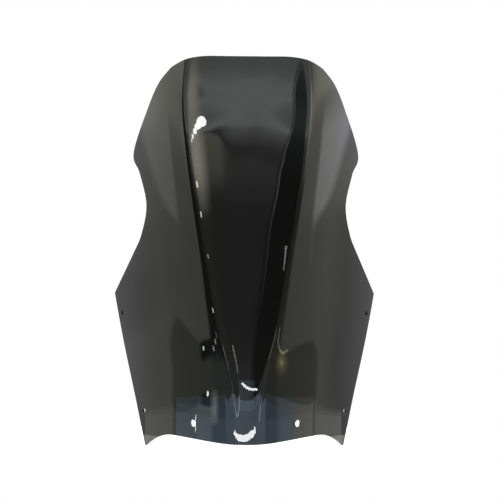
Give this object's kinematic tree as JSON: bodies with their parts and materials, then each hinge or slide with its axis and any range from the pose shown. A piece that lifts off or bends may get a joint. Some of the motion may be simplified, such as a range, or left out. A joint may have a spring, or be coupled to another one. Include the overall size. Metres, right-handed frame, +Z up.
{
  "type": "windshield screen",
  "caption": "Dark smoked motorcycle windshield screen: one formed acrylic sheet with a central channel, swept crests and wings, a waist and plain fixing holes.",
  "frame": {"origin": "middle of the lower edge, on the outer face", "axes": "+Z up along the screen, -Y forwards out of the outer face, +Y back towards the rider, X across; left and right are as seen from the front"},
  "size_m": [0.377, 0.1543, 0.5421],
  "materials": {
    "smoked_acrylic": "clear gloss of formed sheet, tinted dark smoke through its thickness"
  },
  "bodies": {
    "root": {"screen": "smoked_acrylic"}
  },
  "joints": []
}
